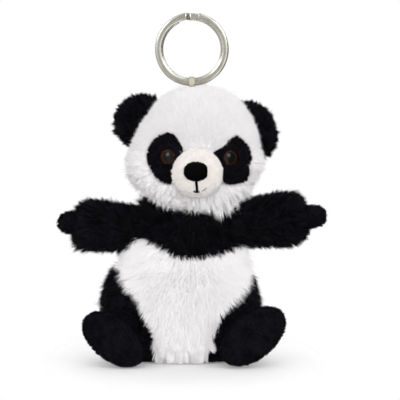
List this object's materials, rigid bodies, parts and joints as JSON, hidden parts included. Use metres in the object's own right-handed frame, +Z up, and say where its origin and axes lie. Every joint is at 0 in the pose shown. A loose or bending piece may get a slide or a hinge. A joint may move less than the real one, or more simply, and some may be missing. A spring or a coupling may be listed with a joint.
{
  "type": "plush keychain",
  "caption": "Sitting plush panda with outstretched arms, hung from a split key ring by a ribbon loop sewn into the top of its head.",
  "frame": {"origin": "on the floor, at the middle of the flat seat", "axes": "+Z up, the panda faces -Y, and left and right in names are as seen from the front, so left is -X"},
  "size_m": [0.1089, 0.0688, 0.1415],
  "materials": {
    "white_plush": "matte, 4 to 7 mm pile",
    "black_plush": "matte, 4 to 7 mm pile with a faint sheen",
    "cream_plush": "matte, short pile",
    "black_velour": "matte, short smooth pile with a sheen",
    "fibre_fill": "matte",
    "pellet_cloth": "matte",
    "embroidery_thread": "satin",
    "loop_ribbon": "satin weave",
    "eye_plastic": "gloss",
    "washer_plastic": "satin",
    "nickel_steel": "satin nickel plate"
  },
  "bodies": {
    "torso": {"chest_yoke": "black_plush", "belly_panel": "white_plush", "back_panel": "white_plush", "hip_panel_left": "black_plush", "hip_panel_right": "black_plush", "seat_panel": "black_velour", "pellet_pouch": "pellet_cloth", "body_stuffing": "fibre_fill"},
    "neck": {"neck_core": "fibre_fill"},
    "head": {"eye_patch_left": "black_velour", "eye_left": "eye_plastic", "eye_washer_left": "washer_plastic", "eye_patch_right": "black_velour", "eye_right": "eye_plastic", "eye_washer_right": "washer_plastic", "face_panel": "white_plush", "head_back_panel": "white_plush", "head_stuffing": "fibre_fill", "muzzle_cover": "cream_plush", "muzzle_stuffing": "fibre_fill", "nose": "embroidery_thread", "mouth_stitch": "embroidery_thread"},
    "ear_left": {"ear_front_left": "black_plush", "ear_back_left": "black_plush"},
    "ear_right": {"ear_front_right": "black_plush", "ear_back_right": "black_plush"},
    "loop": {"ribbon_loop": "loop_ribbon"},
    "ring": {"split_ring": "nickel_steel"},
    "shoulder_left": {"shoulder_core_left": "fibre_fill"},
    "arm_left": {"arm_sleeve_left": "black_plush", "arm_paw_left": "black_velour", "arm_stuffing_left": "fibre_fill"},
    "shoulder_right": {"shoulder_core_right": "fibre_fill"},
    "arm_right": {"arm_sleeve_right": "black_plush", "arm_paw_right": "black_velour", "arm_stuffing_right": "fibre_fill"},
    "leg_left": {"thigh_cover_left": "black_plush", "foot_sole_left": "black_velour", "leg_stuffing_left": "fibre_fill"},
    "leg_right": {"thigh_cover_right": "black_plush", "foot_sole_right": "black_velour", "leg_stuffing_right": "fibre_fill"}
  },
  "joints": [
    {"name": "neck_turn", "type": "hinge", "parent": "torso", "child": "neck", "pos_m": [0.0036, 0, 0.059], "axis": [0, 0, 1], "range_deg": [-20, 20], "stiffness_Nm_per_rad": 0.12},
    {"name": "head_nod", "type": "hinge", "parent": "neck", "child": "head", "pos_m": [0.0036, 0, 0.059], "axis": [1, 0, 0], "range_deg": [-10, 10], "stiffness_Nm_per_rad": 0.2},
    {"name": "ear_fold_left", "type": "hinge", "parent": "head", "child": "ear_left", "pos_m": [-0.01757, 0.0005, 0.09728], "axis": [-0.5522, 0, -0.8337], "range_deg": [-20, 20], "stiffness_Nm_per_rad": 0.006},
    {"name": "ear_fold_right", "type": "hinge", "parent": "head", "child": "ear_right", "pos_m": [0.02905, 0.0005, 0.09402], "axis": [-0.4441, 0, 0.896], "range_deg": [-20, 20], "stiffness_Nm_per_rad": 0.006},
    {"name": "loop_flop", "type": "hinge", "parent": "head", "child": "loop", "pos_m": [0.0035, 0.0005, 0.1094], "axis": [1, 0, 0], "range_deg": [-20, 20], "stiffness_Nm_per_rad": 0.004},
    {"name": "ring_swing", "type": "hinge", "parent": "loop", "child": "ring", "pos_m": [0.0035, 0.0005, 0.113], "axis": [1, 0, 0], "range_deg": [-75, 75]},
    {"name": "arm_swing_left", "type": "hinge", "parent": "torso", "child": "shoulder_left", "pos_m": [-0.01432, 0, 0.054], "axis": [0, 0, 1], "range_deg": [-15, 30], "stiffness_Nm_per_rad": 0.03},
    {"name": "arm_raise_left", "type": "hinge", "parent": "shoulder_left", "child": "arm_left", "pos_m": [-0.01432, 0, 0.054], "axis": [0, 1, 0], "range_deg": [-20, 12], "stiffness_Nm_per_rad": 0.04},
    {"name": "leg_lift_left", "type": "hinge", "parent": "torso", "child": "leg_left", "pos_m": [-0.021, -0.01745, 0.0135], "axis": [-1, 0, 0], "range_deg": [0, 18], "stiffness_Nm_per_rad": 0.04},
    {"name": "arm_swing_right", "type": "hinge", "parent": "torso", "child": "shoulder_right", "pos_m": [0.02152, 0, 0.054], "axis": [0, 0, -1], "range_deg": [-15, 30], "stiffness_Nm_per_rad": 0.03},
    {"name": "arm_raise_right", "type": "hinge", "parent": "shoulder_right", "child": "arm_right", "pos_m": [0.02152, 0, 0.054], "axis": [0, -1, 0], "range_deg": [-20, 12], "stiffness_Nm_per_rad": 0.04},
    {"name": "leg_lift_right", "type": "hinge", "parent": "torso", "child": "leg_right", "pos_m": [0.021, -0.0183, 0.0135], "axis": [-1, 0, 0], "range_deg": [0, 18], "stiffness_Nm_per_rad": 0.04}
  ]
}
